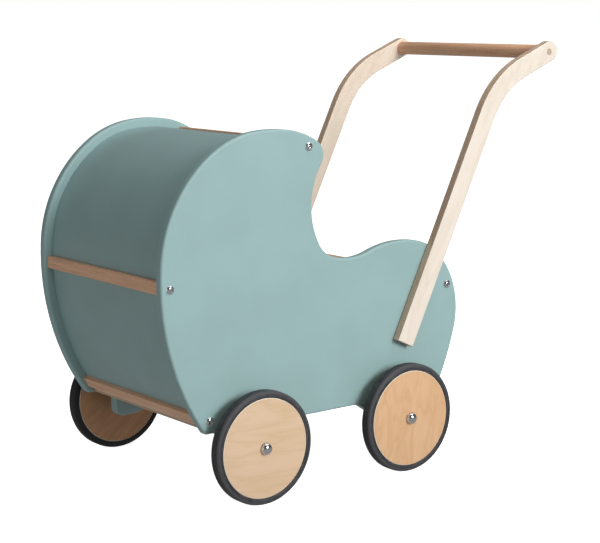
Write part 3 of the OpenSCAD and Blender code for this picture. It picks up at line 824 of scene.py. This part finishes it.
def makeFastenerTree():
    # one fastener on each point, its axis along Y, turned by chance about its axis
    tree = bpy.data.node_groups.new("fasteners", "GeometryNodeTree")
    face = tree.interface
    face.new_socket("Spots", in_out="INPUT", socket_type="NodeSocketGeometry")
    face.new_socket("Fastener", in_out="INPUT", socket_type="NodeSocketObject")
    face.new_socket("Seed", in_out="INPUT", socket_type="NodeSocketInt")
    face.new_socket("Finish", in_out="INPUT", socket_type="NodeSocketMaterial")
    face.new_socket("Fasteners", in_out="OUTPUT", socket_type="NodeSocketGeometry")
    given = addNode(tree, "NodeGroupInput").outputs
    axis = addNode(tree, "GeometryNodeInputNamedAttribute", {"Name": "axis"},
                   data_type="FLOAT_VECTOR")
    aimed = addNode(tree, "FunctionNodeAlignRotationToVector", {
        "Vector": axis.outputs[0]}, axis="Z")
    chance = addNode(tree, "FunctionNodeRandomValue", {
        "Min": 0.0, "Max": math.tau, "Seed": given["Seed"]}, data_type="FLOAT")
    spin = addNode(tree, "FunctionNodeAxisAngleToRotation", {
        "Axis": (0, 0, 1), "Angle": next(o for o in chance.outputs if o.enabled)})
    turned = addNode(tree, "FunctionNodeRotateRotation", {
        0: aimed.outputs[0], 1: spin.outputs[0]}, rotation_space="LOCAL")
    model = addNode(tree, "GeometryNodeObjectInfo", {"Object": given["Fastener"]})
    placed = addNode(tree, "GeometryNodeInstanceOnPoints", {
        "Points": given["Spots"], "Instance": model.outputs["Geometry"],
        "Rotation": turned.outputs[0]})
    real = addNode(tree, "GeometryNodeRealizeInstances", {"Geometry": placed.outputs[0]})
    painted = addNode(tree, "GeometryNodeSetMaterial", {
        "Geometry": real.outputs["Geometry"], "Material": given["Finish"]})
    addNode(tree, "NodeGroupOutput", {"Fasteners": painted.outputs["Geometry"]})
    return tree


fastenerTree = makeFastenerTree()


def screwMesh(name, shape):
    # rings of (radius, height, six-sided) from the tip of the shank to the key's floor
    head, rise, key = shape["head"], shape["rise"], shape["key"]
    rings = [(0, -shape["length"], False), (shape["thread"] * 0.5, -shape["length"], False),
             (shape["thread"], -shape["length"] + shape["thread"] * 0.6, False)]
    if shape["shankLength"]:
        rings += [(shape["thread"], -shape["shankLength"], False),
                  (shape["shank"], -shape["shankLength"], False)]
    rings += [(shape["shank"], 0, False), (head - 0.2 * mm, 0, False), (head, 0.25 * mm, False)]
    rimAngle = math.asin(0.12)
    stopAngle = math.acos(min(1.0, (key + 0.5 * mm) / head))
    for k in range(shape["steps"] + 1):
        angle = rimAngle + (stopAngle - rimAngle) * k / shape["steps"]
        rings.append((head * math.cos(angle), rise * math.sin(angle), False))
    top = rise * math.sin(stopAngle)
    rings += [(key + 0.18 * mm, top + 0.02 * mm, True), (key, top - 0.15 * mm, True),
              (key, top - shape["keyDepth"], True), (0, top - shape["keyDepth"] - 0.4 * mm, False)]
    count = shape["sides"]
    mesh = bpy.data.meshes.new(name)
    points, faces = [], []
    for radius, height, sixSided in rings:
        for k in range(count):
            angle = math.tau * k / count
            flat = math.cos(math.pi / 6) / math.cos(angle % (math.pi / 3) - math.pi / 6)
            r = radius * (flat if sixSided else 1.0)
            points.append((r * math.cos(angle), r * math.sin(angle), height))
    for i in range(len(rings) - 1):
        for k in range(count):
            n = (k + 1) % count
            faces.append((i * count + k, i * count + n, (i + 1) * count + n, (i + 1) * count + k))
    mesh.from_pydata(points, [], faces)
    tidyMesh(mesh, sharpCorner["screws"])
    return mesh


def makeFasteners(name, node, shape, seed, finish, slotName, seat):
    # seat gives, for a solid's box, where the fastener's head sits and its outward axis
    model = newObject(name + "-model", screwMesh(name + "-model", shape))
    seats = [seat(low, high) for low, high in islandBoxes(node)]
    mesh = bpy.data.meshes.new(name)
    mesh.from_pydata([place for place, axis in seats], [], [])
    mesh.attributes.new("axis", "FLOAT_VECTOR", "POINT").data.foreach_set(
        "vector", [x for place, axis in seats for x in axis])
    piece = newObject(name, mesh)
    modifier = piece.modifiers.new("fasteners", "NODES")
    modifier.node_group = fastenerTree
    giveInputs(modifier, {"Fastener": model, "Seed": seed, "Finish": finish})
    tidyMesh(plainMesh(piece), sharpCorner["screws"])
    bpy.data.objects.remove(model)
    finishPiece(piece, finish, slotName, "pram", node)


def middle(low, high):
    return (low + high) / 2


panelScrew = {"head": 5.4 * mm, "rise": 3.6 * mm, "key": 2.2 * mm, "keyDepth": 1.9 * mm,
              "shank": 3 * mm, "shankLength": 12 * mm, "thread": 2.5 * mm, "length": 40 * mm,
              "steps": 8, "sides": 36}
armScrew = dict(panelScrew, shankLength=0, thread=3 * mm, length=20 * mm)


def panelSeat(low, high):
    side = 1 if low.y > 0 else -1
    face = max(side * low.y, side * high.y) - panelScrew["rise"]
    return (middle(low, high).x, side * face, middle(low, high).z), (0, side, 0)


def armSeat(low, high):
    side = 1 if low.y > 0 else -1
    face = min(side * low.y, side * high.y) + armScrew["rise"]
    return (middle(low, high).x, side * face, middle(low, high).z), (0, -side, 0)


makeFasteners("panelScrews", "panel_screws", panelScrew, 7, chrome, "chrome", panelSeat)
makeFasteners("armScrews", "arm_screws", armScrew, 3, zinc, "steel", armSeat)
print("screws driven")

looksOfNodes = {
    "front_axle": zinc, "rear_axle": zinc, "wheel_washers": zinc,
    "front_left_spacer": zinc, "front_right_spacer": zinc,
    "rear_left_spacer": zinc, "rear_right_spacer": zinc,
    "front_left_bush": nylon, "front_right_bush": nylon,
    "rear_left_bush": nylon, "rear_right_bush": nylon,
    "handle_bar_screws": zinc, "handle_bar_plugs": plugWood,
    "arm_inserts": zinc, "floor_screws": zinc,
}
for node, finish in looksOfNodes.items():
    nodes[node].material_slots[0].material = finish
print("carried-over nodes finished")

stage = {
    "floorSize": 40.0,
    "floorColour": "#f4f4f2",
    "glowNear": 0.92,                 # the floor's own light keeps its shadows faint
    "glowFar": 1.0,
    "nearReach": (0.5, 1.6),          # metres from the middle over which the glow rises
    "below": 0.34,                    # light that comes back up from the studio's floor
    "above": 0.125,
    "lights": {
        "key": {"place": (0.4, -3.3, 1.4), "size": (1.0, 1.0), "watts": 62, "aim": (0, 0, 0.25)},
        "wide": {"place": (0.4, -3.2, 1.2), "size": (3.2, 2.2), "watts": 66, "aim": (0, 0, 0.25),
                 "mirrored": False},
        "top": {"place": (0.5, -0.3, 2.2), "size": (1.8, 1.8), "watts": 23, "aim": (0, 0, 0.1)},
        "left": {"place": (-2.6, 0.2, 0.5), "size": (2.0, 1.6), "watts": 10, "aim": (0, 0, 0.25)},
    },
}


def makeFloor(setup):
    # matt white paper, seen by the camera only, so that the light on the object is set
    # by the world and the lamps
    mesh = bpy.data.meshes.new("studioFloor")
    half = setup["floorSize"] / 2
    mesh.from_pydata([(-half, -half, 0), (half, -half, 0), (half, half, 0), (-half, half, 0)],
                     [], [(0, 1, 2, 3)])
    floor = newObject("studioFloor", mesh)
    floor.visible_diffuse = False
    floor.visible_glossy = False
    material, tree, shader = startMaterial("whitePaper", Roughness=0.9)
    shader.inputs["Base Color"].default_value = hexLinear(setup["floorColour"])
    shader.inputs["Specular IOR Level"].default_value = 0.0
    shader.inputs["Emission Color"].default_value = (1, 1, 1, 1)
    coords = addNode(tree, "ShaderNodeTexCoord").outputs["Object"]
    away = addNode(tree, "ShaderNodeVectorMath", {0: coords}, operation="LENGTH")
    glow = addNode(tree, "ShaderNodeMapRange", {
        "Value": away.outputs["Value"], "From Min": setup["nearReach"][0],
        "From Max": setup["nearReach"][1], "To Min": setup["glowNear"],
        "To Max": setup["glowFar"]}, interpolation_type="SMOOTHSTEP")
    tree.links.new(glow.outputs["Result"], shader.inputs["Emission Strength"])
    mesh.materials.append(material)


def makeLight(name, setup):
    data = bpy.data.lights.new(name, "AREA")
    data.shape = "RECTANGLE"
    data.size, data.size_y = setup["size"]
    data.energy = setup["watts"]
    light = bpy.data.objects.new(name, data)
    light.visible_glossy = setup.get("mirrored", True)
    scene.collection.objects.link(light)
    light.location = setup["place"]
    light.rotation_mode = "QUATERNION"
    aim = Vector(setup["aim"]) - light.location
    light.rotation_quaternion = aim.to_track_quat("-Z", "Y")


def makeWorld(setup):
    # white behind the object, and a dimmer light from above and from below on it
    world = bpy.data.worlds.new("studio")
    scene.world = world
    world.use_nodes = True
    tree = world.node_tree
    direction = addNode(tree, "ShaderNodeTexCoord").outputs["Generated"]
    height = addNode(tree, "ShaderNodeSeparateXYZ", {0: direction}).outputs["Z"]
    ambient = addNode(tree, "ShaderNodeMapRange", {
        "Value": height, "From Min": -0.1, "From Max": 0.1,
        "To Min": setup["below"], "To Max": setup["above"]})
    seen = addNode(tree, "ShaderNodeLightPath").outputs["Is Camera Ray"]
    strength = addNode(tree, "ShaderNodeMix", {
        0: seen, 2: ambient.outputs["Result"], 3: 1.0}, data_type="FLOAT")
    background = tree.nodes["Background"]
    background.inputs["Color"].default_value = (1, 1, 1, 1)
    tree.links.new(strength.outputs[0], background.inputs["Strength"])


makeFloor(stage)
makeWorld(stage)
for name, setup in stage["lights"].items():
    makeLight(name + "Light", setup)
print("stage set")
